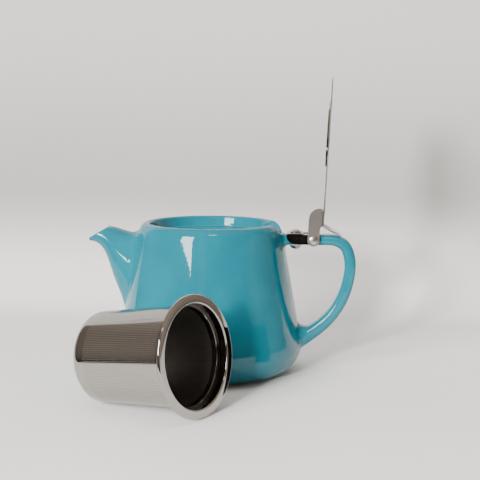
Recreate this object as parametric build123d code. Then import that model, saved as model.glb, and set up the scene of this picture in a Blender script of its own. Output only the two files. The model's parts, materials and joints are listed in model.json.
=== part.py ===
"""Infuser teapot: a glazed pot with a hinged steel lid and a lift-out steel infuser basket.

Millimetres. The origin is the centre of the pot's base on the table; +X points to the
handle, -X to the spout, +Z up. The lid is modelled shut and then turned open about its
pivot, and the infuser is modelled upright and then laid on its side on the table.
"""

import math
import os

from build123d import *

# Pot body, a tapered shell of revolution.
BASE_RADIUS = 60.0
WIDEST_HEIGHT = 18.4
FOOT_RADIUS = 42.1
FOOT_INNER_RADIUS = 38.0
FOOT_GROOVE_WIDTH = 3.4
FOOT_GROOVE_DEPTH = 1.2
TAPER = 0.1757
SHOULDER_HEIGHT = 90.0
CREST_RADIUS = 41.5
POT_HEIGHT = 98.0
WALL = 5.1
FLOOR = 7.0

# Recess in the mouth that takes the shut lid, and the ledge that carries the infuser.
LEDGE_HEIGHT = 91.0
LEDGE_HOLE_RADIUS = 30.9
LEDGE_THICKNESS = 4.5
RECESS_RADIUS = 38.6
CREST_ROUND = 1.8

# Notch through the rim that the lid's tongue lies in.
NOTCH_FLOOR = 91.3
NOTCH_HALF_WIDTH = 9.6
NOTCH_FLARE = 2.0

# Handle: a flat-sided straight run under the hinge, then one long curve down to the base.
HANDLE_WIDTH = 12.4
HANDLE_THICKNESS = 6.6
HANDLE_AXIS_HEIGHT = 87.65
HANDLE_STRAIGHT_END = 76.0
HANDLE_CORNER = 3.0
HANDLE_START = 40.0
HANDLE_CURVE = [
    (54.0, 18.6),
    (63.3, 24.4),
    (76.8, 35.2),
    (86.5, 49.9),
    (90.5, 64.0),
    (91.1, 72.5),
    (89.9, 79.0),
    (87.0, 84.3),
    (82.2, 87.0),
    (76.0, 87.65),
]
# Place along the curve from 0 to 1, then the section's width, thickness and corner radius.
HANDLE_STATIONS = [
    (0.0, 15.0, 11.0, 4.6),
    (0.3, 12.8, 8.0, 3.4),
    (0.7, HANDLE_WIDTH, 7.5, HANDLE_CORNER),
    (1.0, HANDLE_WIDTH, HANDLE_THICKNESS, HANDLE_CORNER),
]

# Spout: (x, z) of the top and the underside of each section, its width in y, its wall.
SPOUT_SECTIONS = [
    ((-36.0, 86.5), (-49.0, 34.0), 34.0, 3.0),
    ((-47.0, 89.3), (-57.0, 42.0), 31.0, 3.0),
    ((-54.7, 91.4), (-62.3, 57.0), 26.5, 3.0),
    ((-60.5, 93.2), (-66.4, 68.6), 22.0, 2.9),
    ((-65.6, 94.3), (-69.8, 77.6), 18.4, 2.7),
    ((-71.2, 94.4), (-74.0, 82.7), 15.4, 2.4),
    ((-79.4, 93.6), (-80.3, 84.4), 13.0, 2.0),
]
LIP_LOW = (-80.6, 86.5)
LIP_HIGH = (-70.0, 92.8)
LIP_ROUND = 1.1
SPOUT_BLEND = 6.0
HANDLE_TOP_BLEND = 2.6
HANDLE_LOW_BLEND = 5.5

# Lid hinge: the pivot sits beside the handle, one stub rivet on each side.
PIVOT_X = 67.2
PIVOT_Z = 87.8
OPEN_ANGLE = 92.8
SHEET = 0.85

# Saddle, the steel channel clamped over the handle.
SADDLE_FRONT = 49.8
SADDLE_TOP_END = 60.5
SADDLE_TOP = 92.1
SADDLE_BOTTOM = 85.1
SADDLE_HALF_WIDTH = 7.4
SADDLE_SHEET = 0.8
SADDLE_EDGE = 0.4
SADDLE_NOSE = 5.6
SADDLE_LOBE = 3.5
LINER_GAP = 0.03

# Clamping bolt through the handle.
BOLT_X = 55.6
BOLT_HEAD_RADIUS = 3.75
BOLT_HEAD_HEIGHT = 2.3
BOLT_RADIUS = 2.0
BOLT_END = 81.7
SLEEVE_RADIUS = 2.75
BOLT_HOLE_RADIUS = 2.8
WASHER_RADIUS = 3.75
WASHER_THICKNESS = 0.5
NUT_RADIUS = 3.8
NUT_BOTTOM = 81.0

# Pivot rivets and the washers between saddle and lid ears.
RIVET_RADIUS = 1.5
RIVET_HEAD_RADIUS = 2.7
RIVET_HEAD_HEIGHT = 1.0
RIVET_TAIL_RADIUS = 2.1
RIVET_TAIL_THICKNESS = 0.3
EAR_INNER = 7.9
EAR_HALF_WIDTH = 3.85
RUNNING_GAP = 0.02

# Lid: a disc with a shallow pressed dish, a tongue, and a thumb tab bent up at its end.
LID_RADIUS = 37.2
LID_BOTTOM = 93.1
DISH_RADIUS = 22.7
DISH_DEPTH = 1.0
TONGUE_HALF_WIDTH = EAR_INNER + SHEET
TONGUE_ROOT_RADIUS = 6.0
WEB_START = 47.9
WEB_END = 57.7
TAB_POINTS = [(57.7, 93.525), (60.28, 98.27), (61.99, 102.16), (63.7, 105.05)]
TAB_TIP_HALF_WIDTH = 4.5
BOLT_WINDOW_RADIUS = 4.4

# Infuser basket, modelled upright with its flange face at z = 0; its tube tapers slightly.
FLANGE_RADIUS = 35.2
FLANGE_RIM = 1.3
NECK_RADIUS = 30.2
NECK_LENGTH = 5.6
SHOULDER_DROP = 0.4
TUBE_TOP_RADIUS = 28.8
TUBE_LOW_RADIUS = 26.95
COLLAR_SHEET = 0.6
TUBE_SHEET = 0.45
TUBE_TOP = 6.9
SKIRT_END = 9.6
SEAM_GAP = 0.005
INFUSER_LENGTH = 71.75
BASE_CORNER = 7.0
BASE_STEP_RADIUS = 15.0
BASE_STEP = 0.8

# Where the basket lies: flange centre in plan, and how far its mouth is turned forward.
INFUSER_X = 4.81
INFUSER_Y = -116.36
INFUSER_YAW = 28.43
TABLE_GAP = 0.02


def section(points):
    """A face in the XZ plane from (x, z) corners."""
    return Plane.XZ * make_face(Polyline(*points, close=True))


def disc(radius, bottom, top, x=0.0, y=0.0):
    """An upright cylinder between two heights."""
    return Pos(x, y, bottom) * extrude(Circle(radius), top - bottom)


def cross_pin(radius, y_from, y_to, x=PIVOT_X, z=PIVOT_Z):
    """A cylinder along Y between two values of y."""
    face = Plane(origin=(x, y_from, z), x_dir=(1, 0, 0), z_dir=(0, 1, 0)) * Circle(radius)
    return extrude(face, y_to - y_from)


def wall_radius(z):
    """Outer radius of the straight tapered wall at height z."""
    return BASE_RADIUS - TAPER * (z - WIDEST_HEIGHT)


def revolved(edges):
    """Solid of revolution about Z from closed profile edges given as (radius, z)."""
    return revolve(Plane.XZ * make_face(edges), Axis.Z)


def pot_outside():
    """The pot's outer form without handle, spout or hollow."""
    taper_start = 30.0
    shoulder = wall_radius(SHOULDER_HEIGHT)
    low = wall_radius(taper_start)
    groove_inner = FOOT_INNER_RADIUS - FOOT_GROOVE_WIDTH
    corner = Bezier(
        (FOOT_RADIUS, 0),
        (FOOT_RADIUS + 9.9, 0),
        (BASE_RADIUS, 8.2),
        (BASE_RADIUS, WIDEST_HEIGHT),
    )
    turn = Bezier(
        (BASE_RADIUS, WIDEST_HEIGHT),
        (BASE_RADIUS, WIDEST_HEIGHT + 4),
        (low + 4 * TAPER, taper_start - 4),
        (low, taper_start),
    )
    wall = Line((low, taper_start), (shoulder, SHOULDER_HEIGHT))
    lip = Bezier(
        (shoulder, SHOULDER_HEIGHT),
        (shoulder - 4.4 * TAPER, SHOULDER_HEIGHT + 4.4),
        (CREST_RADIUS + 3.2, POT_HEIGHT),
        (CREST_RADIUS, POT_HEIGHT),
    )
    rest = Polyline(
        (CREST_RADIUS, POT_HEIGHT),
        (0, POT_HEIGHT),
        (0, 0),
        (groove_inner, 0),
        (groove_inner + 0.8, FOOT_GROOVE_DEPTH),
        (FOOT_INNER_RADIUS - 0.8, FOOT_GROOVE_DEPTH),
        (FOOT_INNER_RADIUS, 0),
        (FOOT_RADIUS, 0),
    )
    return revolved([corner, turn, wall, lip, *rest.edges()])


def pot_hollow():
    """The hollow: the brewing space, the ledge hole and the recess for the lid."""
    high = 80.0
    low_radius = wall_radius(FLOOR) - WALL
    high_radius = wall_radius(high) - WALL
    ledge_bottom = LEDGE_HEIGHT - LEDGE_THICKNESS
    brewing = make_face(
        Polyline(
            (0, FLOOR),
            (low_radius, FLOOR),
            (high_radius, high),
            (LEDGE_HOLE_RADIUS + 1.0, ledge_bottom),
            (LEDGE_HOLE_RADIUS, ledge_bottom + 1.0),
            (LEDGE_HOLE_RADIUS, LEDGE_HEIGHT - 0.5),
            (LEDGE_HOLE_RADIUS + 0.5, LEDGE_HEIGHT),
            (0, LEDGE_HEIGHT),
            close=True,
        )
    )
    corners = brewing.vertices()
    brewing = fillet(corners.sort_by_distance((low_radius, FLOOR))[0], 13.0)
    brewing = fillet(brewing.vertices().sort_by_distance((high_radius, high))[0], 5.0)
    wall_top = POT_HEIGHT - CREST_ROUND
    wall_top_radius = CREST_RADIUS - CREST_ROUND
    bend = CREST_ROUND * math.sqrt(0.5)
    recess = make_face(
        [
            Line((0, LEDGE_HEIGHT), (RECESS_RADIUS, LEDGE_HEIGHT)),
            Line((RECESS_RADIUS, LEDGE_HEIGHT), (wall_top_radius, wall_top)),
            ThreePointArc(
                (wall_top_radius, wall_top),
                (CREST_RADIUS - bend, wall_top + bend),
                (CREST_RADIUS, POT_HEIGHT),
            ),
            Line((CREST_RADIUS, POT_HEIGHT), (CREST_RADIUS, POT_HEIGHT + 2)),
            Line((CREST_RADIUS, POT_HEIGHT + 2), (0, POT_HEIGHT + 2)),
            Line((0, POT_HEIGHT + 2), (0, LEDGE_HEIGHT)),
        ]
    )
    recess = fillet(recess.vertices().sort_by_distance((RECESS_RADIUS, LEDGE_HEIGHT))[0], 1.0)
    return revolve(Plane.XZ * brewing, Axis.Z) + revolve(Plane.XZ * recess, Axis.Z)


def handle():
    """Curve swept up from the lower root, then the straight run back into the wall."""
    points = [(x, 0, z) for x, z in HANDLE_CURVE]
    path = Spline(*points, tangents=[(0.85, 0, 0.53), (-1, 0, 0)])
    faces = []
    for t, width, thickness, corner in HANDLE_STATIONS:
        plane = Plane(origin=path @ t, x_dir=(0, 1, 0), z_dir=path % t)
        faces.append(plane * RectangleRounded(width, thickness, corner))
    curve = sweep(faces, path=path, multisection=True)
    start = Plane(origin=(HANDLE_START, 0, HANDLE_AXIS_HEIGHT), x_dir=(0, 1, 0), z_dir=(1, 0, 0))
    face = start * RectangleRounded(HANDLE_WIDTH, HANDLE_THICKNESS, HANDLE_CORNER)
    return curve + extrude(face, HANDLE_STRAIGHT_END - HANDLE_START)


def spout_loft(hollow=False):
    """Loft through the spout's elliptical sections, or through those of its channel."""
    faces = []
    for top, under, width, wall in SPOUT_SECTIONS:
        inset = wall if hollow else 0.0
        dx, dz = top[0] - under[0], top[1] - under[1]
        height = math.hypot(dx, dz)
        middle = ((top[0] + under[0]) / 2, 0, (top[1] + under[1]) / 2)
        plane = Plane(origin=middle, x_dir=(0, 1, 0), z_dir=(-dz, 0, dx))
        faces.append(plane * Ellipse(width / 2 - inset, height / 2 - inset))
    return loft(faces)


def above_lip():
    """Everything beyond the slanting plane the spout's opening is cut on."""
    dx, dz = LIP_HIGH[0] - LIP_LOW[0], LIP_HIGH[1] - LIP_LOW[1]
    length = math.hypot(dx, dz)
    middle = (LIP_LOW[0] + dx / 2, 0, LIP_LOW[1] + dz / 2)
    plane = Plane(origin=middle, x_dir=(0, 1, 0), z_dir=(-dz / length, 0, dx / length))
    return extrude(plane * Rectangle(40, 60), 25)


def spout():
    """The spout's outer form, cut off at the lip, with the edges of lip and tip rounded."""
    cut = spout_loft() - above_lip()
    tip, opening = cut.faces().filter_by(GeomType.PLANE).sort_by(Axis.X)[:2]
    edges = tip.edges()
    edges += [edge for edge in opening.edges() if edge not in edges]
    return fillet(edges, LIP_ROUND)


def notch():
    """The dip in the rim the lid's tongue lies in."""
    flared = NOTCH_HALF_WIDTH + NOTCH_FLARE
    top = POT_HEIGHT + 3
    face = make_face(
        Polyline(
            (-NOTCH_HALF_WIDTH, NOTCH_FLOOR),
            (NOTCH_HALF_WIDTH, NOTCH_FLOOR),
            (flared, POT_HEIGHT - 1.5),
            (flared + 8, top),
            (-flared - 8, top),
            (-flared, POT_HEIGHT - 1.5),
            close=True,
        )
    )
    face = fillet(face.vertices().filter_by(lambda v: v.Y < NOTCH_FLOOR + 0.1), 2.0)
    face = fillet(face.vertices().filter_by(lambda v: abs(v.Y - POT_HEIGHT + 1.5) < 0.1), 4.0)
    plane = Plane(origin=(32, 0, 0), x_dir=(0, 1, 0), z_dir=(1, 0, 0))
    return extrude(plane * face, 20)


def teapot_body():
    pot = pot_outside()
    beak = spout()
    grip = handle()
    outside = pot + beak
    outside = fillet(new_edges(pot, beak, combined=outside), SPOUT_BLEND)
    whole = outside + grip
    low = new_edges(outside, grip, combined=whole).filter_by(lambda e: e.center().Z < 50)
    whole = fillet(low, HANDLE_LOW_BLEND)
    high = new_edges(outside, grip, combined=whole).filter_by(lambda e: e.center().Z > 75)
    whole = fillet(high, HANDLE_TOP_BLEND)
    channel = spout_loft(hollow=True)
    bolt_hole = disc(BOLT_HOLE_RADIUS, SADDLE_BOTTOM - 5, SADDLE_TOP, BOLT_X)
    return whole - pot_hollow() - channel - notch() - bolt_hole


def saddle_outline():
    """Side view of the saddle: a plate with a rounded nose and a lobe round the pivot."""
    nose_low = SADDLE_FRONT + SADDLE_NOSE
    nose_high = SADDLE_BOTTOM + SADDLE_NOSE
    bend = SADDLE_NOSE * (1 - math.sqrt(0.5))
    plate = make_face(
        [
            Line((SADDLE_FRONT, SADDLE_TOP), (SADDLE_FRONT, nose_high)),
            ThreePointArc(
                (SADDLE_FRONT, nose_high),
                (SADDLE_FRONT + bend, SADDLE_BOTTOM + bend),
                (nose_low, SADDLE_BOTTOM),
            ),
            Line((nose_low, SADDLE_BOTTOM), (PIVOT_X, SADDLE_BOTTOM)),
            Line((PIVOT_X, SADDLE_BOTTOM), (PIVOT_X, PIVOT_Z + SADDLE_LOBE)),
            Line((PIVOT_X, PIVOT_Z + SADDLE_LOBE), (SADDLE_TOP_END, PIVOT_Z + SADDLE_LOBE)),
            Line((SADDLE_TOP_END, PIVOT_Z + SADDLE_LOBE), (SADDLE_TOP_END, SADDLE_TOP)),
            Line((SADDLE_TOP_END, SADDLE_TOP), (SADDLE_FRONT, SADDLE_TOP)),
        ]
    )
    return plate + Pos(PIVOT_X, PIVOT_Z) * Circle(SADDLE_LOBE)


def hinge_saddle():
    block = extrude(Plane.XZ * saddle_outline(), SADDLE_HALF_WIDTH, both=True)
    long_edges = block.edges().filter_by(Axis.X).filter_by(lambda e: e.center().Z > SADDLE_TOP - 0.1)
    block = fillet(long_edges.filter_by(lambda e: abs(e.center().Y) > 5), SADDLE_EDGE)
    inner = SADDLE_HALF_WIDTH - SADDLE_SHEET
    ceiling = SADDLE_TOP - SADDLE_SHEET
    channel = Pos(SADDLE_FRONT, 0, PIVOT_Z) * Box(60, 2 * inner, 2 * (ceiling - PIVOT_Z))
    channel = fillet(channel.edges().filter_by(Axis.X), 0.7)
    below = Pos(SADDLE_FRONT, 0, PIVOT_Z - 5) * Box(60, 2 * inner, 10)
    opening = Pos(SADDLE_TOP_END + 10, 0, PIVOT_Z) * Box(20, 2 * inner, 20)
    rivet_holes = cross_pin(RIVET_RADIUS + RUNNING_GAP, -10, 10)
    bolt_hole = disc(BOLT_RADIUS + 0.05, SADDLE_TOP - 3, SADDLE_TOP + 1, BOLT_X)
    return block - channel - below - opening - rivet_holes - bolt_hole


def saddle_liner():
    inner = SADDLE_HALF_WIDTH - SADDLE_SHEET - LINER_GAP
    top = SADDLE_TOP - SADDLE_SHEET - LINER_GAP
    start, end = SADDLE_FRONT + 0.6, SADDLE_TOP_END - 0.5
    bottom = SADDLE_BOTTOM + 0.5
    block = Pos((start + end) / 2, 0, (top + bottom) / 2) * Box(end - start, 2 * inner, top - bottom)
    upper = block.edges().filter_by(Axis.X).filter_by(lambda e: e.center().Z > top - 0.1)
    block = fillet(upper, 0.8)
    block = block & extrude(Plane.XZ * saddle_outline(), SADDLE_HALF_WIDTH, both=True)
    plane = Plane(origin=(HANDLE_START, 0, HANDLE_AXIS_HEIGHT), x_dir=(0, 1, 0), z_dir=(1, 0, 0))
    width, thickness = HANDLE_WIDTH + 2 * LINER_GAP, HANDLE_THICKNESS + 2 * LINER_GAP
    grip = extrude(plane * RectangleRounded(width, thickness, HANDLE_CORNER), 30)
    return block - grip - disc(BOLT_HOLE_RADIUS, top - 3, top + 1, BOLT_X)


def bolt_sleeve():
    bottom = HANDLE_AXIS_HEIGHT - HANDLE_THICKNESS / 2
    top = SADDLE_TOP - SADDLE_SHEET - LINER_GAP
    bore = disc(BOLT_RADIUS + 0.03, bottom - 1, top + 1, BOLT_X)
    return disc(SLEEVE_RADIUS, bottom, top, BOLT_X) - bore


def dome(radius, rim, height):
    """A domed button standing on the XY plane: a short rim, then a spherical cap."""
    rise = height - rim
    sphere = (radius**2 + rise**2) / (2 * rise)
    half_angle = math.asin(radius / sphere) / 2
    middle = (sphere * math.sin(half_angle), height - sphere * (1 - math.cos(half_angle)))
    edges = [
        Line((0, 0), (radius, 0)),
        Line((radius, 0), (radius, rim)),
        ThreePointArc((radius, rim), middle, (0, height)),
        Line((0, height), (0, 0)),
    ]
    return revolved(edges)


def saddle_bolt():
    head = Pos(BOLT_X, 0, SADDLE_TOP) * dome(BOLT_HEAD_RADIUS, 0.5, BOLT_HEAD_HEIGHT)
    return head + disc(BOLT_RADIUS, BOLT_END, SADDLE_TOP, BOLT_X)


def under_washer():
    top = HANDLE_AXIS_HEIGHT - HANDLE_THICKNESS / 2
    bottom = top - WASHER_THICKNESS
    hole = disc(BOLT_RADIUS + 0.05, bottom - 1, top + 1, BOLT_X)
    return disc(WASHER_RADIUS, bottom, top, BOLT_X) - hole


def cap_nut():
    top = HANDLE_AXIS_HEIGHT - HANDLE_THICKNESS / 2 - WASHER_THICKNESS
    body = Pos(BOLT_X, 0, top) * Rot(180, 0, 0) * dome(NUT_RADIUS, 0.5, top - NUT_BOTTOM)
    return body - disc(BOLT_RADIUS + 0.02, BOLT_END - 0.1, top + 1, BOLT_X)


def hinge_rivets():
    """One stub rivet on each side: a tail inside the saddle, a domed head outside the ear."""
    inner = SADDLE_HALF_WIDTH - SADDLE_SHEET
    head_base = EAR_INNER + SHEET + RUNNING_GAP
    tail = cross_pin(RIVET_TAIL_RADIUS, inner - RUNNING_GAP - RIVET_TAIL_THICKNESS, inner - RUNNING_GAP)
    shank = cross_pin(RIVET_RADIUS, inner - RUNNING_GAP, head_base)
    button = dome(RIVET_HEAD_RADIUS, 0.4, RIVET_HEAD_HEIGHT)
    head = Pos(PIVOT_X, head_base, PIVOT_Z) * Rot(-90, 0, 0) * button
    rivet = tail + shank + head
    return Compound(children=[rivet, mirror(rivet, Plane.XZ)])


def hinge_washers():
    start, end = SADDLE_HALF_WIDTH, EAR_INNER - RUNNING_GAP
    ring = cross_pin(3.2, start, end) - cross_pin(RIVET_RADIUS + RUNNING_GAP, start - 1, end + 1)
    return Compound(children=[ring, mirror(ring, Plane.XZ)])


def opened(shape):
    """Turn a shape of the shut lid back about the pivot to the open rest position."""
    return shape.rotate(Axis((PIVOT_X, 0, PIVOT_Z), (0, 1, 0)), OPEN_ANGLE)


def bolt_window():
    """Clearance through tongue, web and tab for the bolt's head when the lid is shut."""
    return disc(BOLT_WINDOW_RADIUS, LID_BOTTOM - 2, LID_BOTTOM + 5, BOLT_X)


def lid_plate():
    """Disc, tongue and thumb tab, all one pressed sheet."""
    top = LID_BOTTOM + SHEET
    length = WEB_END - 20
    plan = Circle(LID_RADIUS) + Pos(20 + length / 2, 0) * Rectangle(length, 2 * TONGUE_HALF_WIDTH)
    necks = plan.vertices().filter_by(lambda v: v.X < WEB_START and abs(v.Y) < TONGUE_HALF_WIDTH + 0.1)
    plan = fillet(necks, TONGUE_ROOT_RADIUS)
    flat = Pos(0, 0, LID_BOTTOM) * extrude(plan, SHEET)
    rim = flat.edges().group_by(Axis.Z)[0] + flat.edges().group_by(Axis.Z)[-1]
    flat = chamfer(rim.filter_by(lambda e: e.center().X < WEB_START), 0.15)
    flat = flat - disc(DISH_RADIUS + 0.1, LID_BOTTOM - 1, top + 1)
    dish = section_ring(
        [
            (DISH_RADIUS + 0.9, top),
            (DISH_RADIUS + 0.9, LID_BOTTOM),
            (DISH_RADIUS + 0.4, LID_BOTTOM),
            (DISH_RADIUS - 0.3, LID_BOTTOM - DISH_DEPTH),
            (0, LID_BOTTOM - DISH_DEPTH),
            (0, top - DISH_DEPTH),
            (DISH_RADIUS - 0.8, top - DISH_DEPTH),
            (DISH_RADIUS - 0.1, top),
        ]
    )
    start = (WEB_START + 2, LID_BOTTOM + SHEET / 2)
    fold = FilletPolyline(start, *TAB_POINTS, radius=1.8)
    tab = extrude(Plane.XZ * trace(fold, SHEET), TONGUE_HALF_WIDTH, both=True)
    tip = TAB_POINTS[-1][1] + 1
    half = TONGUE_HALF_WIDTH
    front = make_face(
        Polyline(
            (-half, 90),
            (half, 90),
            (half, 98),
            (TAB_TIP_HALF_WIDTH, tip),
            (-TAB_TIP_HALF_WIDTH, tip),
            (-half, 98),
            close=True,
        )
    )
    front = fillet(front.vertices().filter_by(lambda v: v.Y > 95), 4.0)
    plane = Plane(origin=(45, 0, 0), x_dir=(0, 1, 0), z_dir=(1, 0, 0))
    tab = tab & extrude(plane * front, 30)
    return opened(flat + dish + tab - bolt_window())


def section_ring(points):
    """Solid of revolution about Z from (radius, z) corners."""
    return revolved(Polyline(*points, close=True).edges())


def ear_outline():
    """Side view of one ear, in the shut position."""
    low = PIVOT_Z - EAR_HALF_WIDTH
    high = PIVOT_Z + EAR_HALF_WIDTH
    edges = [
        Line((PIVOT_X, low), (55.8, low)),
        ThreePointArc((55.8, low), (50.5, 85.5), (WEB_START, 90.0)),
        Line((WEB_START, 90.0), (WEB_START, LID_BOTTOM)),
        Line((WEB_START, LID_BOTTOM), (WEB_END, LID_BOTTOM)),
        ThreePointArc((WEB_END, LID_BOTTOM), (58.4, 92.1), (60.0, high)),
        Line((60.0, high), (PIVOT_X, high)),
        Line((PIVOT_X, high), (PIVOT_X, low)),
    ]
    return make_face(edges) + Pos(PIVOT_X, PIVOT_Z) * Circle(EAR_HALF_WIDTH)


def lid_hinge_bracket():
    """Web welded under the tongue, with an ear bent down at each side."""
    outer = EAR_INNER + SHEET
    block = extrude(Plane.XZ * ear_outline(), outer, both=True)
    corners = block.edges().filter_by(Axis.X).filter_by(lambda e: e.center().Z > LID_BOTTOM - 0.1)
    block = fillet(corners, 0.8)
    under_web = Pos(PIVOT_X, 0, LID_BOTTOM - SHEET - 10) * Box(50, 2 * EAR_INNER, 20)
    behind_web = Pos(WEB_END + 10, 0, LID_BOTTOM) * Box(20, 2 * EAR_INNER, 20)
    rivet_holes = cross_pin(RIVET_RADIUS + 2 * RUNNING_GAP, -10, 10)
    return opened(block - under_web - behind_web - rivet_holes - bolt_window())


def lean():
    """Angle the lying basket's axis rises by, from its flange rim and base corner both touching."""
    across = FLANGE_RADIUS - (TUBE_LOW_RADIUS - BASE_CORNER)
    along = INFUSER_LENGTH - BASE_CORNER - FLANGE_RIM
    return math.acos(BASE_CORNER / math.hypot(across, along)) - math.atan2(along, across)


def laid_down(shape):
    """Turn an upright part of the basket onto its side and set it on the table."""
    tilt = lean()
    height = FLANGE_RADIUS * math.cos(tilt) + FLANGE_RIM * math.sin(tilt) + TABLE_GAP
    turn = Rot(0, 0, -INFUSER_YAW) * Rot(0, 90 - math.degrees(tilt), 0)
    return Pos(INFUSER_X, INFUSER_Y, height) * turn * shape


def tube_radius(z):
    """Outer radius of the tapering tube at height z, the flange face being zero."""
    low = BASE_CORNER - INFUSER_LENGTH
    share = (z - low) / (-TUBE_TOP - low)
    return TUBE_LOW_RADIUS + (TUBE_TOP_RADIUS - TUBE_LOW_RADIUS) * share


def infuser_collar():
    """Spun flange with a turned-down rim, a neck, a shoulder and a skirt that enters the sleeve."""
    half = COLLAR_SHEET / 2
    shoulder = -NECK_LENGTH - SHOULDER_DROP
    inset = TUBE_SHEET + half + SEAM_GAP
    line = FilletPolyline(
        (FLANGE_RADIUS - half, -FLANGE_RIM),
        (FLANGE_RADIUS - half, -half),
        (NECK_RADIUS - half, -half),
        (NECK_RADIUS - half, -NECK_LENGTH),
        (tube_radius(shoulder) - inset, shoulder),
        (tube_radius(-SKIRT_END) - inset, -SKIRT_END),
        radius=0.6,
    )
    return laid_down(revolve(Plane.XZ * trace(line, COLLAR_SHEET), Axis.Z))


def infuser_sleeve():
    """Straight-sided tapering tube, open at both ends."""
    bottom = BASE_CORNER - INFUSER_LENGTH
    top_radius, low_radius = TUBE_TOP_RADIUS, TUBE_LOW_RADIUS
    corners = [
        (top_radius, -TUBE_TOP),
        (low_radius, bottom),
        (low_radius - TUBE_SHEET, bottom),
        (top_radius - TUBE_SHEET, -TUBE_TOP),
    ]
    return laid_down(section_ring(corners))


def infuser_base():
    """Pressed cup with a rounded corner and a raised centre."""
    bottom = -INFUSER_LENGTH
    bend_z = bottom + BASE_CORNER
    bend_r = TUBE_LOW_RADIUS - BASE_CORNER
    part = math.sqrt(0.5)
    inner = BASE_CORNER - TUBE_SHEET
    floor = bottom + TUBE_SHEET
    edges = [
        Line((TUBE_LOW_RADIUS - TUBE_SHEET, bend_z), (TUBE_LOW_RADIUS, bend_z)),
        ThreePointArc(
            (TUBE_LOW_RADIUS, bend_z),
            (bend_r + BASE_CORNER * part, bend_z - BASE_CORNER * part),
            (bend_r, bottom),
        ),
        *Polyline(
            (bend_r, bottom),
            (BASE_STEP_RADIUS + 1, bottom),
            (BASE_STEP_RADIUS, bottom + BASE_STEP),
            (0, bottom + BASE_STEP),
            (0, floor + BASE_STEP),
            (BASE_STEP_RADIUS + 0.3, floor + BASE_STEP),
            (BASE_STEP_RADIUS + 1.3, floor),
            (bend_r, floor),
        ).edges(),
        ThreePointArc(
            (bend_r, floor),
            (bend_r + inner * part, bend_z - inner * part),
            (TUBE_LOW_RADIUS - TUBE_SHEET, bend_z),
        ),
    ]
    return laid_down(revolved(edges))


PARTS = {
    "teapot_body": teapot_body,
    "hinge_saddle": hinge_saddle,
    "saddle_liner": saddle_liner,
    "bolt_sleeve": bolt_sleeve,
    "saddle_bolt": saddle_bolt,
    "under_washer": under_washer,
    "cap_nut": cap_nut,
    "hinge_rivets": hinge_rivets,
    "hinge_washers": hinge_washers,
    "lid_plate": lid_plate,
    "lid_hinge_bracket": lid_hinge_bracket,
    "infuser_collar": infuser_collar,
    "infuser_sleeve": infuser_sleeve,
    "infuser_base": infuser_base,
}


def main():
    os.makedirs("parts", exist_ok=True)
    for name, build in PARTS.items():
        export_step(build(), f"parts/{name}.step")


main()
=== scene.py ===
"""Looks for the infuser teapot: glazed pot, hinged steel lid standing open, steel basket lying in front.

Everything is in metres in the shared frame: the origin is the centre of the pot's base on the table,
+X points to the handle, -Y towards the camera and the basket, +Z up.
"""

import json
import math

import bmesh
import bpy
from mathutils import Matrix, Vector

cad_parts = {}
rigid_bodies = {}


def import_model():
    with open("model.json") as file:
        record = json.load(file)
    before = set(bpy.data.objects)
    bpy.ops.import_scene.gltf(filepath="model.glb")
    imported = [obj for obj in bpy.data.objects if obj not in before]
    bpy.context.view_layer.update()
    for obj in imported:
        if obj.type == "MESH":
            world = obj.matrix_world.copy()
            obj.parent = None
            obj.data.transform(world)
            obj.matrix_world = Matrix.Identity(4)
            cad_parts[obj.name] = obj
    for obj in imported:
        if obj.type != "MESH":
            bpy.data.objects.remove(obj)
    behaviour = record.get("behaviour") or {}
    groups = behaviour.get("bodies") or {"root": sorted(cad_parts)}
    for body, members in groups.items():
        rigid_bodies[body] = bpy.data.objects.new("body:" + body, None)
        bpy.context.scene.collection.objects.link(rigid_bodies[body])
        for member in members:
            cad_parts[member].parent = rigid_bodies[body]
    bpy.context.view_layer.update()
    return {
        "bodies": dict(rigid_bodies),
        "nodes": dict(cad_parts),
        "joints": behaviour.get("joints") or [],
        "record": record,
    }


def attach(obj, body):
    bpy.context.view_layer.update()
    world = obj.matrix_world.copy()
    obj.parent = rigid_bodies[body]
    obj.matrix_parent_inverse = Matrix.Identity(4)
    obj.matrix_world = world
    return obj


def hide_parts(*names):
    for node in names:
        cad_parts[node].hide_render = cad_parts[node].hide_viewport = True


# Camera, from the solved view: where it stands, where it looks and how long its lens is.
CAMERA_AT = (0.0754, -0.7299, 0.1779)
CAMERA_YAW = -4.40
CAMERA_PITCH = 7.12
CAMERA_ROLL = -0.35
CAMERA_LENS = 84.7

# Basket, in its own upright axes: flange face at z = 0, mouth up, tube tapering towards its base.
FLANGE_R = 0.0352
FLANGE_RIM = 0.0013
NECK_R = 0.0302
TUBE_TOP_R = 0.0288
TUBE_LOW_R = 0.02695
SHEET = 0.00045
COLLAR_SHEET = 0.0006
TUBE_TOP = -0.0069
NECK_END = -0.0056
SHOULDER = -0.0060
SKIRT_END = -0.0096
BASE_Z = -0.07175
CORNER_R = 0.0070
STEP_R = 0.0150
STEP = 0.0008
STEP_SLOPE = 0.0012
STEP_BEND_R = 0.0008
BEND_R = 0.0006
LATHE_STEPS = 192
MERGE = 1e-6
SHARP_DEGREES = 40

# Short lengths that keep a corner or a boundary clear of its neighbour.
END_STRAIGHT = 0.0005
NECK_SKIN = 0.0001
SKIRT_SKIN = 0.00015
# How far past the neck's end the painted shade on the collar's inner shoulder reaches.
PAINTED_SHADE_HEIGHT = 0.0012

# Pot's unglazed foot.
FOOT_HEIGHT = 0.0006

# Etched holes: staggered rows along the tube.
HOLE_ACROSS = 0.00112
HOLE_ALONG = 0.00068
HOLE_R = 0.00017
ETCH_TOP = -0.0080
ETCH_BOTTOM = -0.0610
ETCH_DISC_R = 0.0135

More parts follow.
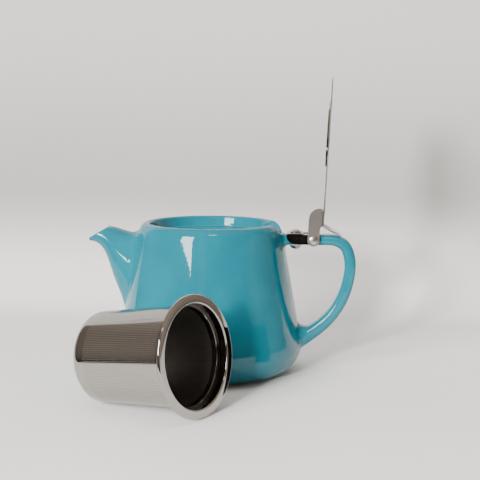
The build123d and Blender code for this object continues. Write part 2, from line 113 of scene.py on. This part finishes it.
# Set: a pale sweep behind, and an apron round it that only the camera sees.
WALL_Y = 0.26
WALL_TOP = 0.62
COVE_R = 0.10
WALL_LEFT = -0.56
FLOOR_LEFT = -0.10
SWEEP_RIGHT = 0.62
FLOOR_FRONT = -0.32
APRON = 2.2
APRON_DROP = 0.0004

# Light: one tall window at the front left, and how much brighter the folds of a card are.
WINDOW_AZIMUTH = -32
WINDOW_DISTANCE = 1.7
WINDOW_HEIGHT = 0.77
WINDOW_SIZE = (0.58, 0.82)
DAYLIGHT = (1.0, 0.98, 0.95)
SKYLIGHT = (0.98, 0.99, 1.0)
FOLD_GAIN = 4

# Room that reflections see: (height from 0 at straight down to 1 at straight up, brightness), and tint.
ROOM_STOPS = ((0.0, 0.012), (0.450, 0.012), (0.480, 0.15), (0.60, 0.25), (0.80, 0.25), (0.92, 0.62))
ROOM_TINT = (1.0, 0.86, 0.72)


# ---------------------------------------------------------------- node helpers


class Nodes:
    """Short calls for building the node tree of a material or a world."""

    def __init__(self, owner, output="ShaderNodeOutputMaterial"):
        owner.use_nodes = True
        self.owner = owner
        self.output = output
        self.tree = owner.node_tree
        self.tree.nodes.clear()

    def add(self, kind, inputs=None, **settings):
        node = self.tree.nodes.new(kind)
        for key, value in settings.items():
            setattr(node, key, value)
        for key, value in (inputs or {}).items():
            self.put(node.inputs[key], value)
        return node

    def put(self, socket, value):
        """Link a socket or a node's first output, or set a plain value."""
        if isinstance(value, bpy.types.Node):
            value = value.outputs[0]
        if isinstance(value, bpy.types.NodeSocket):
            self.tree.links.new(value, socket)
        else:
            socket.default_value = value

    def math(self, operation, a, b=0.0, clamp=False):
        return self.add("ShaderNodeMath", {0: a, 1: b}, operation=operation, use_clamp=clamp)

    def mix(self, factor, a, b):
        """Mix two colours."""
        node = self.add("ShaderNodeMix", data_type="RGBA")
        self.put(node.inputs["Factor"], factor)
        self.put(node.inputs["A"], a)
        self.put(node.inputs["B"], b)
        return node.outputs["Result"]

    def lerp(self, factor, low, high):
        """Map a 0 to 1 factor onto low to high."""
        node = self.add("ShaderNodeMapRange", {"Value": factor, "To Min": low, "To Max": high})
        return node.outputs["Result"]

    def window(self, value, start, end):
        """0 before start, 1 after end, smooth between them."""
        node = self.add("ShaderNodeMapRange", {"Value": value, "From Min": start, "From Max": end})
        node.interpolation_type = "SMOOTHSTEP"
        return node.outputs["Result"]

    def noise(self, coords, scale, detail=3.0, roughness=0.5):
        inputs = {"Vector": coords, "Scale": scale, "Detail": detail, "Roughness": roughness}
        return self.add("ShaderNodeTexNoise", inputs).outputs["Fac"]

    def stretched(self, coords, scale):
        """Coordinates scaled per axis, for streaks."""
        return self.add("ShaderNodeMapping", {"Vector": coords, "Scale": scale}).outputs["Vector"]

    def bump(self, height, distance, strength=1.0, normal=None):
        inputs = {"Height": height, "Distance": distance, "Strength": strength}
        if normal is not None:
            inputs["Normal"] = normal
        return self.add("ShaderNodeBump", inputs).outputs["Normal"]

    def linked(self, node, name):
        """The socket that already feeds one of a node's inputs."""
        return node.inputs[name].links[0].from_socket

    def radius(self, x, y):
        squares = self.math("ADD", self.math("MULTIPLY", x, x), self.math("MULTIPLY", y, y))
        return self.math("SQRT", squares)

    def finish(self, shader):
        output = self.add(self.output)
        self.put(output.inputs["Surface"], shader)
        return self.owner


def material_nodes(name):
    return Nodes(bpy.data.materials.new(name))


def rgb(r, g, b):
    return (r, g, b, 1.0)


def scaled(colour, r, g, b):
    return rgb(colour[0] * r, colour[1] * g, colour[2] * b)


# ------------------------------------------------------------------- materials


def glaze():
    """Turquoise gloss glaze: pooled colour, a trace of orange peel, paler where it thins on edges."""
    n = material_nodes("turquoise_glaze")
    place = n.add("ShaderNodeTexCoord").outputs["Object"]
    geometry = n.add("ShaderNodeNewGeometry")
    cloud = n.noise(place, 38.0, 4.0)
    fleck = n.noise(place, 2600.0, 2.0)
    colour = n.mix(n.window(cloud, 0.35, 0.68), rgb(0.004, 0.128, 0.177), rgb(0.006, 0.148, 0.200))
    speck = n.math("MULTIPLY", n.window(fleck, 0.60, 0.75), 0.25)
    colour = n.mix(speck, colour, rgb(0.003, 0.110, 0.155))
    thin = n.window(geometry.outputs["Pointiness"], 0.54, 0.62)
    colour = n.mix(n.math("MULTIPLY", thin, 0.30), colour, rgb(0.10, 0.28, 0.33))
    split = n.add("ShaderNodeSeparateXYZ", {"Vector": place})
    down = n.add("ShaderNodeSeparateXYZ", {"Vector": geometry.outputs["Normal"]})
    low = n.math("LESS_THAN", split.outputs["Z"], FOOT_HEIGHT)
    bare = n.math("MULTIPLY", low, n.math("LESS_THAN", down.outputs["Z"], -0.7))
    grit = n.noise(place, 1800.0, 4.0, 0.7)
    clay = n.mix(grit, rgb(0.55, 0.49, 0.41), rgb(0.72, 0.67, 0.59))
    colour = n.mix(bare, colour, clay)
    peel = n.noise(place, 260.0, 2.0)
    wave = n.noise(place, 42.0, 1.0)
    normal = n.bump(peel, 0.00004, 0.25)
    normal = n.bump(wave, 0.0004, 0.12, normal)
    smear = n.noise(place, 70.0, 5.0, 0.65)
    rough = n.lerp(n.window(smear, 0.42, 0.75), 0.015, 0.06)
    rough = n.add("ShaderNodeMix", {0: bare, 2: rough, 3: 0.85}, data_type="FLOAT").outputs[0]
    shader = n.add(
        "ShaderNodeBsdfPrincipled",
        {
            "Base Color": colour,
            "Roughness": rough,
            "IOR": 1.46,
            "Normal": normal,
        },
    )
    return n.finish(shader)


def steel(name, tint, low, high, streak_scale, streak=0.5, attribute=None):
    """Stainless steel: directional polish lines, faint smears and a slightly uneven surface."""
    n = material_nodes(name)
    if attribute:
        place = n.add("ShaderNodeAttribute", attribute_name=attribute).outputs["Vector"]
    else:
        place = n.add("ShaderNodeTexCoord").outputs["Object"]
    lines = n.noise(n.stretched(place, streak_scale), 1.0, 4.0, 0.6)
    smear = n.noise(place, 95.0, 6.0, 0.7)
    prints = n.noise(place, 420.0, 3.0, 0.6)
    mark = n.math("MULTIPLY", n.window(smear, 0.48, 0.72), n.window(prints, 0.35, 0.7))
    wear = n.math("ADD", n.math("MULTIPLY", lines, streak), n.math("MULTIPLY", mark, 0.5), True)
    rough = n.lerp(wear, low, high)
    colour = n.mix(n.math("MULTIPLY", mark, 0.35), tint, scaled(tint, 0.82, 0.81, 0.79))
    dent = n.noise(place, 60.0, 1.0)
    normal = n.bump(lines, 0.00002, 0.35)
    normal = n.bump(dent, 0.0002, 0.10, normal)
    shader = n.add(
        "ShaderNodeBsdfPrincipled",
        {
            "Base Color": colour,
            "Metallic": 1.0,
            "Roughness": rough,
            "Normal": normal,
        },
    )
    return n, shader, place


def etched_holes(n, across, along):
    """Distance from the middle of the nearest hole, in staggered columns of holes."""
    column = n.math("DIVIDE", across, HOLE_ACROSS)
    odd = n.math("MODULO", n.math("ABSOLUTE", n.math("FLOOR", column)), 2.0)
    row = n.math("ADD", n.math("DIVIDE", along, HOLE_ALONG), n.math("MULTIPLY", odd, 0.5))
    u = n.math("MULTIPLY", n.math("SUBTRACT", n.math("FRACT", column), 0.5), HOLE_ACROSS)
    v = n.math("MULTIPLY", n.math("SUBTRACT", n.math("FRACT", row), 0.5), HOLE_ALONG)
    return n.radius(u, v)


def inside_sheet(n, radius, z):
    """1 on the sheet's inner face, 0 on its outer face."""
    slope = (TUBE_TOP_R - TUBE_LOW_R) / (TUBE_TOP - BASE_Z - CORNER_R)
    rise = n.math("SUBTRACT", z, BASE_Z + CORNER_R)
    wall = n.math("ADD", n.math("MULTIPLY", rise, slope), TUBE_LOW_R)
    inside = n.math("LESS_THAN", radius, n.math("SUBTRACT", wall, SHEET / 2))
    return n.math("MULTIPLY", inside, n.math("GREATER_THAN", z, BASE_Z + SHEET / 2))


def etched_steel(name, tint, low, high, disc):
    """Polished sheet with staggered rows of fine etched holes, on the tube or on the base; the holes are
    dark matt spots, as painted shade in place of openings.
    """
    n, shader, place = steel(name, tint, low, high, (900.0, 900.0, 60.0), attribute="local")
    split = n.add("ShaderNodeSeparateXYZ", {"Vector": place})
    x, y, z = split.outputs["X"], split.outputs["Y"], split.outputs["Z"]
    radius = n.radius(x, y)
    if disc:
        reach = etched_holes(n, x, y)
        zone = n.math("LESS_THAN", radius, ETCH_DISC_R)
    else:
        around = n.math("MULTIPLY", n.math("ARCTAN2", y, x), TUBE_TOP_R)
        reach = etched_holes(n, around, z)
        above = n.math("GREATER_THAN", z, ETCH_BOTTOM)
        zone = n.math("MULTIPLY", above, n.math("LESS_THAN", z, ETCH_TOP))
    inside = inside_sheet(n, radius, z)
    bright = n.linked(shader, "Base Color")
    n.put(shader.inputs["Base Color"], n.mix(inside, bright, rgb(0.42, 0.41, 0.40)))
    shine = n.linked(shader, "Roughness")
    n.put(shader.inputs["Roughness"], n.math("MAXIMUM", shine, n.math("MULTIPLY", inside, 0.30)))
    rim = n.math("MULTIPLY", n.window(reach, HOLE_R, HOLE_R * 1.5), zone)
    n.put(shader.inputs["Normal"], n.bump(rim, 0.00002, 0.3, n.linked(shader, "Normal")))
    # Painted shade: each hole is a dark matt spot instead of an opening onto the shaded inside.
    dark = n.add("ShaderNodeBsdfDiffuse", {"Color": rgb(0.10, 0.09, 0.08)})
    hole = n.math("MULTIPLY", n.math("LESS_THAN", reach, HOLE_R), zone)
    return n.finish(n.add("ShaderNodeMixShader", {0: hole, 1: shader, 2: dark}))


def collar_steel(name, tint, low, high):
    """Mirror steel whose inner shoulder is painted near black, as painted shade in the recess past the
    neck.
    """
    n, shader, place = steel(name, tint, low, high, (40.0, 40.0, 900.0), 0.35, attribute="local")
    split = n.add("ShaderNodeSeparateXYZ", {"Vector": place})
    radius = n.radius(split.outputs["X"], split.outputs["Y"])
    narrow = n.math("LESS_THAN", radius, NECK_R - COLLAR_SHEET + NECK_SKIN)
    deep = n.math("LESS_THAN", split.outputs["Z"], NECK_END + PAINTED_SHADE_HEIGHT)
    inner = n.math("GREATER_THAN", radius, TUBE_TOP_R - SHEET - COLLAR_SHEET + SKIRT_SKIN)
    # Painted shade: the inner face of the shoulder below the neck is coloured near black.
    painted_shade = n.math("MULTIPLY", n.math("MULTIPLY", narrow, deep), inner)
    bright = n.linked(shader, "Base Color")
    n.put(shader.inputs["Base Color"], n.mix(painted_shade, bright, rgb(0.050, 0.042, 0.036)))
    return n.finish(shader)


def lid_steel(tint):
    """Polished sheet with a cut edge that is darker and duller than its faces."""
    n, shader, _ = steel("lid_steel", tint, 0.06, 0.2, (1800.0, 60.0, 60.0), 0.5)
    facing = n.add("ShaderNodeTexCoord").outputs["Normal"]
    across = n.add("ShaderNodeSeparateXYZ", {"Vector": facing}).outputs["X"]
    edge = n.math("LESS_THAN", n.math("ABSOLUTE", across), 0.35)
    bright = n.linked(shader, "Base Color")
    n.put(shader.inputs["Base Color"], n.mix(edge, bright, rgb(0.30, 0.285, 0.27)))
    shine = n.linked(shader, "Roughness")
    n.put(shader.inputs["Roughness"], n.math("MAXIMUM", shine, n.math("MULTIPLY", edge, 0.42)))
    return n.finish(shader)


def plain_steel(*args, **kwargs):
    n, shader, _ = steel(*args, **kwargs)
    return n.finish(shader)


def silicone():
    n = material_nodes("clear_silicone")
    place = n.add("ShaderNodeTexCoord").outputs["Object"]
    dust = n.noise(place, 1500.0, 4.0, 0.7)
    colour = n.mix(n.window(dust, 0.45, 0.7), rgb(0.66, 0.67, 0.66), rgb(0.54, 0.54, 0.52))
    shader = n.add(
        "ShaderNodeBsdfPrincipled",
        {
            "Base Color": colour,
            "Roughness": n.lerp(dust, 0.45, 0.65),
            "Transmission Weight": 0.25,
            "IOR": 1.41,
            "Normal": n.bump(dust, 0.00003, 0.3),
        },
    )
    return n.finish(shader)


def backdrop_material():
    """Pale matt sweep with painted shade and light, seen from its front only so that it never hides the
    object from behind.
    """
    n = material_nodes("pale_backdrop")
    geometry = n.add("ShaderNodeNewGeometry")
    place = geometry.outputs["Position"]
    split = n.add("ShaderNodeSeparateXYZ", {"Vector": place})
    tooth = n.noise(place, 900.0, 3.0, 0.6)
    cloud = n.noise(place, 5.0, 3.0)
    # Painted shade: from the pale floor the sheet darkens into a dark band in the cove, and the wall
    # above it is a mid grey.
    cove = n.window(split.outputs["Z"], 0.0, 0.10)
    colour = n.mix(cove, rgb(0.89, 0.895, 0.89), rgb(0.36, 0.355, 0.345))
    upper = n.window(split.outputs["Z"], 0.08, 0.26)
    colour = n.mix(upper, colour, rgb(0.55, 0.545, 0.54))
    # Painted light: the sheet is painted darker towards the left and lighter towards the right.
    side = n.lerp(n.window(split.outputs["X"], -0.25, 0.25), 0.93, 1.07)
    grey = n.add("ShaderNodeCombineXYZ", {"X": side, "Y": side, "Z": side})
    colour = n.add("ShaderNodeVectorMath", {0: colour, 1: grey}, operation="MULTIPLY")
    colour = n.mix(n.math("MULTIPLY", n.window(cloud, 0.3, 0.7), 0.10), colour, rgb(0.50, 0.50, 0.49))
    matt = n.add(
        "ShaderNodeBsdfPrincipled",
        {"Base Color": colour, "Roughness": 0.75, "Normal": n.bump(tooth, 0.0002, 0.05)},
    )
    clear = n.add("ShaderNodeBsdfTransparent")
    return n.finish(n.add("ShaderNodeMixShader", {0: geometry.outputs["Backfacing"], 1: matt, 2: clear}))


# -------------------------------------------------------------------- geometry


def new_object(name, mesh):
    obj = bpy.data.objects.new(name, mesh)
    bpy.context.scene.collection.objects.link(obj)
    return obj


def arc(centre, radius, start, end, steps):
    """Points (r, z) on an arc, angles in degrees, both ends included."""
    points = []
    for i in range(steps + 1):
        a = math.radians(start + (end - start) * i / steps)
        points.append((centre[0] + radius * math.cos(a), centre[1] + radius * math.sin(a)))
    return points


def lathe(name, profile, frame):
    """Revolve a closed (r, z) outline, keep upright places as an attribute, move it into the frame."""
    vertices, faces = [], []
    count = len(profile)
    for i in range(LATHE_STEPS):
        a = 2 * math.pi * i / LATHE_STEPS
        for r, z in profile:
            vertices.append((r * math.cos(a), r * math.sin(a), z))
    for i in range(LATHE_STEPS):
        j = (i + 1) % LATHE_STEPS
        for k in range(count):
            m = (k + 1) % count
            faces.append((i * count + k, j * count + k, j * count + m, i * count + m))
    mesh = bpy.data.meshes.new(name)
    mesh.from_pydata(vertices, [], faces)
    local = mesh.attributes.new("local", "FLOAT_VECTOR", "POINT")
    local.data.foreach_set("vector", [c for v in vertices for c in v])
    mesh.transform(frame)
    bm = bmesh.new()
    bm.from_mesh(mesh)
    bmesh.ops.remove_doubles(bm, verts=bm.verts, dist=MERGE)
    bmesh.ops.recalc_face_normals(bm, faces=bm.faces)
    bm.to_mesh(mesh)
    bm.free()
    for polygon in mesh.polygons:
        polygon.use_smooth = True
    mesh.set_sharp_from_angle(angle=math.radians(SHARP_DEGREES))
    return new_object(name, mesh)


def offset_line(line, half):
    """Closed outline of a sheet of thickness 2 * half along an open (r, z) line."""
    left, right = [], []
    last = len(line) - 1
    for i, (r, z) in enumerate(line):
        before, after = line[max(i - 1, 0)], line[min(i + 1, last)]
        dr, dz = after[0] - before[0], after[1] - before[1]
        length = math.hypot(dr, dz)
        nr, nz = -dz / length, dr / length
        left.append((r + nr * half, z + nz * half))
        right.append((r - nr * half, z - nz * half))
    return left + right[::-1]


def rounded_line(points, radii, steps=8):
    """Open (r, z) line through points, with each inner corner rounded to its radius."""
    line = [points[0]]
    for i in range(1, len(points) - 1):
        p, q, s = Vector(points[i - 1]), Vector(points[i]), Vector(points[i + 1])
        a, b = (p - q).normalized(), (s - q).normalized()
        angle = a.angle(b)
        cut = radii[i - 1] / math.tan(angle / 2)
        start, end = q + a * cut, q + b * cut
        centre = q + (a + b).normalized() * (radii[i - 1] / math.sin(angle / 2))
        u, w = start - centre, end - centre
        for k in range(steps + 1):
            t = k / steps
            way = u.lerp(w, t).normalized() * radii[i - 1]
            line.append(tuple(centre + way))
    line.append(points[-1])
    return line


def joint(record, name):
    return next(j for j in record["behaviour"]["joints"] if j["name"] == name)


def basket_frame(record):
    """Matrix from the basket's upright axes to where it lies, from the joint that tips it."""
    tip = joint(record, "infuser_tip")
    yaw = math.atan2(-tip["axis"][0], -tip["axis"][1])
    lean = math.radians(90 - tip["range_deg"][1])
    turn = Matrix.Rotation(-yaw, 4, "Z") @ Matrix.Rotation(math.pi / 2 - lean, 4, "Y")
    heel = Vector((TUBE_LOW_R - CORNER_R, 0, BASE_Z + CORNER_R))
    return Matrix.Translation(tip["pos_m"]) @ turn @ Matrix.Translation(-heel)


def tube_radius(z):
    """Outer radius of the tapering tube at height z."""
    low = BASE_Z + CORNER_R
    return TUBE_LOW_R + (TUBE_TOP_R - TUBE_LOW_R) * (z - low) / (TUBE_TOP - low)


def basket(record):
    frame = basket_frame(record)
    half = COLLAR_SHEET / 2
    inset = SHEET + half
    line = rounded_line(
        [
            (FLANGE_R - half, -FLANGE_RIM),
            (FLANGE_R - half, -half),
            (NECK_R - half, -half),
            (NECK_R - half, NECK_END),
            (tube_radius(SHOULDER) - inset, SHOULDER),
            (tube_radius(SKIRT_END) - inset, SKIRT_END),
        ],
        [BEND_R] * 4,
    )
    collar = lathe("basket_collar", offset_line(line, half), frame)
    bottom = BASE_Z + CORNER_R
    sleeve = lathe(
        "basket_sleeve",
        [
            (TUBE_TOP_R, TUBE_TOP),
            (TUBE_LOW_R, bottom),
            (TUBE_LOW_R - SHEET, bottom),
            (TUBE_TOP_R - SHEET, TUBE_TOP),
        ],
        frame,
    )
    middle = SHEET / 2
    cup = [(TUBE_LOW_R - middle, bottom)]
    cup += arc((TUBE_LOW_R - CORNER_R, bottom), CORNER_R - middle, 0, -90, 14)
    floor = BASE_Z + middle
    cup += rounded_line(
        [
            (TUBE_LOW_R - CORNER_R - END_STRAIGHT, floor),
            (STEP_R + STEP_SLOPE, floor),
            (STEP_R, floor + STEP),
            (END_STRAIGHT, floor + STEP),
        ],
        [STEP_BEND_R] * 2,
    )
    cup.append((0.0, floor + STEP))
    outline = offset_line(cup[1:], middle)
    outline = [(max(r, 0.0), z) for r, z in outline]
    base = lathe("basket_base", outline, frame)
    return collar, sleeve, base


def backdrop():
    """Floor, cove and wall in one sheet, narrower in front, and a wide apron for the camera."""
    corner = WALL_Y - COVE_R
    section = arc((corner, COVE_R), COVE_R, -90, 0, 24)
    section.append((WALL_Y, WALL_TOP))
    vertices = [(FLOOR_LEFT, FLOOR_FRONT, 0.0)] + [(WALL_LEFT, y, z) for y, z in section]
    vertices += [(SWEEP_RIGHT, FLOOR_FRONT, 0.0)] + [(SWEEP_RIGHT, y, z) for y, z in section]
    count = len(vertices) // 2
    faces = [(i + 1, i, count + i, count + i + 1) for i in range(count - 1)]
    material = backdrop_material()
    staged_sheet("backdrop", vertices, faces, material)
    square = [
        (x, y, -APRON_DROP)
        for x, y in ((-APRON, -APRON), (APRON, -APRON), (APRON, APRON), (-APRON, APRON))
    ]
    apron = staged_sheet("apron", square, [(0, 1, 2, 3)], material)
    apron.visible_diffuse = False
    apron.visible_glossy = False
    apron.visible_transmission = False
    apron.visible_shadow = False


def staged_sheet(name, vertices, faces, material):
    mesh = bpy.data.meshes.new(name)
    mesh.from_pydata(vertices, [], faces)
    for polygon in mesh.polygons:
        polygon.use_smooth = True
    obj = new_object(name, mesh)
    obj.data.materials.append(material)
    return obj


# ------------------------------------------------------------ light and camera


def area_light(name, place, target, size, power, colour):
    data = bpy.data.lights.new(name, "AREA")
    data.shape = "RECTANGLE"
    data.size, data.size_y = size
    data.energy = power
    data.color = colour
    obj = bpy.data.objects.new(name, data)
    bpy.context.scene.collection.objects.link(obj)
    obj.location = place
    aim = Vector(target) - Vector(place)
    obj.rotation_euler = aim.to_track_quat("-Z", "Y").to_euler()
    return obj


def polar(azimuth, distance, height):
    """A place round the pot: azimuth in degrees from the camera's side, positive to the right."""
    a = math.radians(azimuth)
    return (distance * math.sin(a), -distance * math.cos(a), height)


def panel(name, corners_at, colour):
    """A glowing or dark card, softly folded like cloth, that only reflections see."""
    mesh = bpy.data.meshes.new(name)
    mesh.from_pydata(corners_at, [], [(0, 1, 2, 3)])
    obj = new_object(name, mesh)
    n = material_nodes(name)
    place = n.add("ShaderNodeTexCoord").outputs["Object"]
    folds = n.noise(n.stretched(place, (30.0, 30.0, 1.0)), 1.0, 3.0)
    fold = scaled(colour, FOLD_GAIN, FOLD_GAIN, FOLD_GAIN)
    shade = n.mix(n.window(folds, 0.45, 0.65), colour, fold)
    obj.data.materials.append(n.finish(n.add("ShaderNodeEmission", {"Color": shade, "Strength": 1.0})))
    obj.visible_camera = False
    obj.visible_diffuse = False
    obj.visible_shadow = False
    obj.visible_transmission = False
    return obj


def lights():
    """A window, a small source that throws the shadows on the wall, and a faint soft top."""
    place = polar(WINDOW_AZIMUTH, WINDOW_DISTANCE, WINDOW_HEIGHT)
    area_light("window", place, (0, 0, 0.55), WINDOW_SIZE, 50.0, DAYLIGHT)
    low = area_light("window_low", (-0.44, -1.40, 0.40), (0.1, 0.1, 0.10), (0.18, 0.18), 34.0, DAYLIGHT)
    low.visible_glossy = False
    top = area_light("top_soft", (0.0, -0.10, 1.45), (0.05, 0.12, 0), (1.1, 1.0), 6.0, SKYLIGHT)
    top.visible_glossy = False


def cards():
    """What reflections see of the room in front: flags that darken, a curtain and a high window."""
    flag = [(0.075, -0.046, 0.0), (0.075, -0.071, 0.0), (0.075, -0.071, 0.043), (0.075, -0.046, 0.043)]
    panel("right_flag", flag, rgb(0.004, 0.004, 0.004))
    shade = [
        (-0.104, -0.064, 0.094),
        (-0.068, -0.079, 0.094),
        (-0.062, -0.066, 0.130),
        (-0.098, -0.051, 0.130),
    ]
    panel("spout_flag", shade, rgb(0.08, 0.07, 0.06))
    cut = [polar(-44, 1.6, 0.405), polar(-44, 1.6, 0.20), polar(-21, 1.6, 0.20), polar(-22, 1.6, 0.350)]
    panel("window_cut", cut, rgb(0.08, 0.07, 0.06))
    curtain = [polar(-13, 1.7, 0.20), polar(-2, 1.7, 0.20), polar(-2, 1.7, 1.1), polar(-13, 1.7, 1.1)]
    panel("curtain", curtain, rgb(0.24, 0.235, 0.23))
    high = [polar(2, 1.2, 1.36), polar(18, 1.2, 1.36), polar(18, 1.1, 1.50), polar(2, 1.1, 1.50)]
    panel("high_window", high, rgb(5.0, 5.0, 4.9))


def room_colour(n, height):
    """Dark below the table, warm grey round it, lighter at the ceiling; height runs from -1 to 1."""
    level = n.add("ShaderNodeMapRange", {"Value": height, "From Min": -1.0}).outputs["Result"]
    ramp = n.add("ShaderNodeValToRGB", {"Fac": level})
    elements = ramp.color_ramp.elements
    for index, (place, value) in enumerate(ROOM_STOPS):
        element = elements[index] if index < 2 else elements.new(place)
        element.position = place
        element.color = scaled((value, value, value), *ROOM_TINT)
    return ramp.outputs["Color"]


def room_span(n, value, start, end, first, last):
    """A factor that goes from first to last as a direction's part goes from start to end."""
    inputs = {"Value": value, "From Min": start, "From Max": end, "To Min": first, "To Max": last}
    return n.add("ShaderNodeMapRange", inputs).outputs["Result"]


def world():
    """Reflections see a dark warm room round the pale sweep; the camera sees a plain pale one."""
    n = Nodes(bpy.data.worlds.new("room"), "ShaderNodeOutputWorld")
    way = n.add("ShaderNodeTexCoord").outputs["Generated"]
    split = n.add("ShaderNodeSeparateXYZ", {"Vector": way})
    right = room_span(n, split.outputs["X"], 0.84, 0.93, 1.0, 3.0)
    front = room_span(n, split.outputs["Y"], -0.95, -0.60, 0.80, 1.0)
    colour = room_colour(n, split.outputs["Z"])
    strength = n.math("MULTIPLY", right, front)
    room = n.add("ShaderNodeBackground", {"Color": colour, "Strength": strength})
    pale = n.add("ShaderNodeBackground", {"Color": rgb(0.62, 0.62, 0.61)})
    seen = n.add("ShaderNodeLightPath").outputs["Is Camera Ray"]
    choice = n.add("ShaderNodeMixShader", {0: seen, 1: room, 2: pale})
    bpy.context.scene.world = n.finish(choice)


def camera():
    data = bpy.data.cameras.new("camera")
    data.lens = CAMERA_LENS
    data.sensor_width = 36.0
    data.clip_start, data.clip_end = 0.01, 20.0
    obj = bpy.data.objects.new("camera", data)
    bpy.context.scene.collection.objects.link(obj)
    yaw, pitch = math.radians(CAMERA_YAW), math.radians(CAMERA_PITCH)
    ahead = Vector(
        (math.sin(yaw) * math.cos(pitch), math.cos(yaw) * math.cos(pitch), -math.sin(pitch))
    )
    turn = ahead.to_track_quat("-Z", "Y").to_matrix().to_4x4()
    roll = Matrix.Rotation(math.radians(-CAMERA_ROLL), 4, "Z")
    obj.matrix_world = Matrix.Translation(CAMERA_AT) @ turn @ roll
    bpy.context.scene.camera = obj


def paint(obj, material):
    obj.data.materials.clear()
    obj.data.materials.append(material)


def paint_cad_nodes(nodes):
    sheet_tint = rgb(0.56, 0.535, 0.51)
    polished = plain_steel("polished_steel", sheet_tint, 0.06, 0.2, (1800.0, 60.0, 60.0), 0.5)
    satin = plain_steel("satin_steel", rgb(0.36, 0.325, 0.31), 0.28, 0.5, (3000.0, 3000.0, 90.0), 0.9)
    turned = plain_steel("turned_steel", rgb(0.56, 0.52, 0.485), 0.22, 0.4, (900.0, 60.0, 900.0), 0.8)
    paint(nodes["teapot_body"], glaze())
    for name in ("hinge_saddle", "saddle_bolt", "cap_nut"):
        paint(nodes[name], polished)
    paint(nodes["lid_plate"], lid_steel(sheet_tint))
    for name in ("lid_hinge_bracket", "hinge_washers"):
        paint(nodes[name], satin)
    paint(nodes["hinge_rivets"], turned)
    soft = silicone()
    for name in ("saddle_liner", "bolt_sleeve", "under_washer"):
        paint(nodes[name], soft)


def place_basket(record):
    """Turned basket pieces that stand for their CAD nodes."""
    tint = rgb(0.41, 0.385, 0.365)
    collar, sleeve, base = basket(record)
    paint(collar, collar_steel("mirror_steel", tint, 0.04, 0.16))
    paint(sleeve, etched_steel("etched_tube", tint, 0.06, 0.18, False))
    paint(base, etched_steel("etched_base", tint, 0.06, 0.18, True))
    for piece, node, slot in (
        (collar, "infuser_collar", "mirror_steel"),
        (sleeve, "infuser_sleeve", "etched_steel"),
        (base, "infuser_base", "mirror_steel"),
    ):
        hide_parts(node)
        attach(piece, "infuser")


def main():
    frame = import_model()
    paint_cad_nodes(frame["nodes"])
    place_basket(frame["record"])
    backdrop()
    lights()
    cards()
    world()
    camera()


main()
